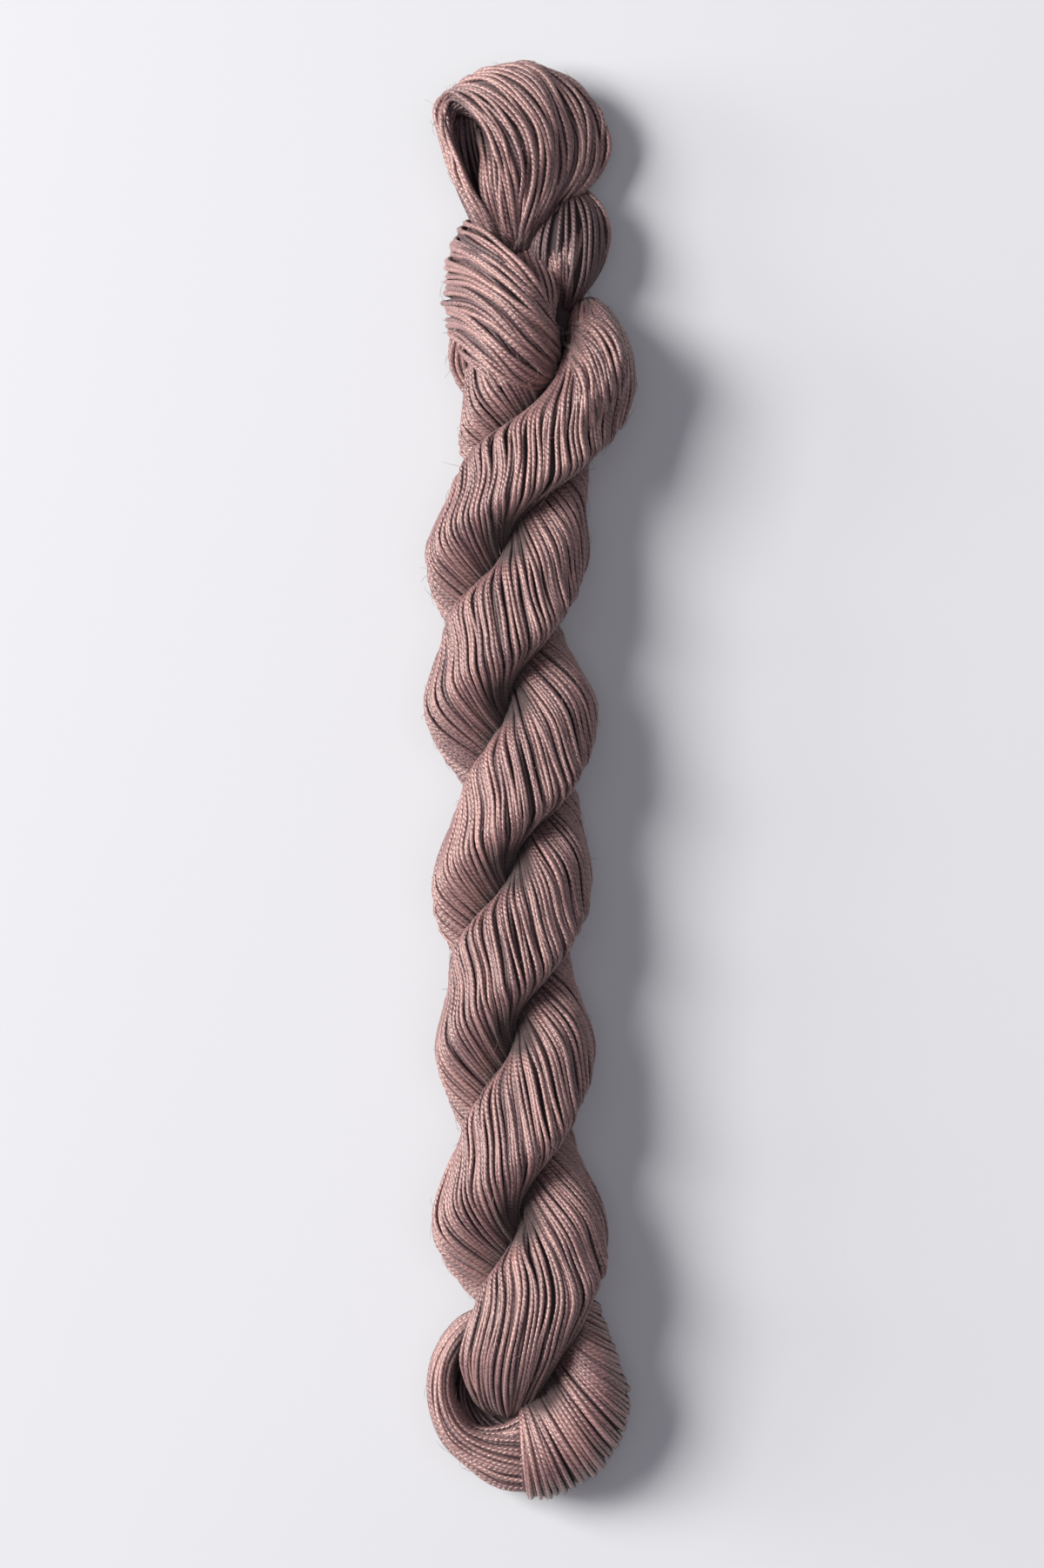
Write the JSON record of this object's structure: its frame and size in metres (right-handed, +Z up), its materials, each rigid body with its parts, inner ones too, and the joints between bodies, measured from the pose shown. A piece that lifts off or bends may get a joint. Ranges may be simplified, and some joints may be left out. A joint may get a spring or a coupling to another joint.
{
  "type": "hank of linen yarn",
  "caption": "Skein of fine linen yarn, twisted and doubled into a plied hank with an end loop tucked through a collar, lying flat.",
  "frame": {"origin": "middle of the hank's box in plan, on the table it rests on", "axes": "+Y along the hank towards its head loop, +X across it, +Z up from the table"},
  "size_m": [0.0426, 0.2894, 0.0304],
  "materials": {
    "linen_yarn": "dusty mauve-brown plied linen with a soft sheen"
  },
  "bodies": {
    "root": {"hank": "linen_yarn"}
  },
  "joints": []
}
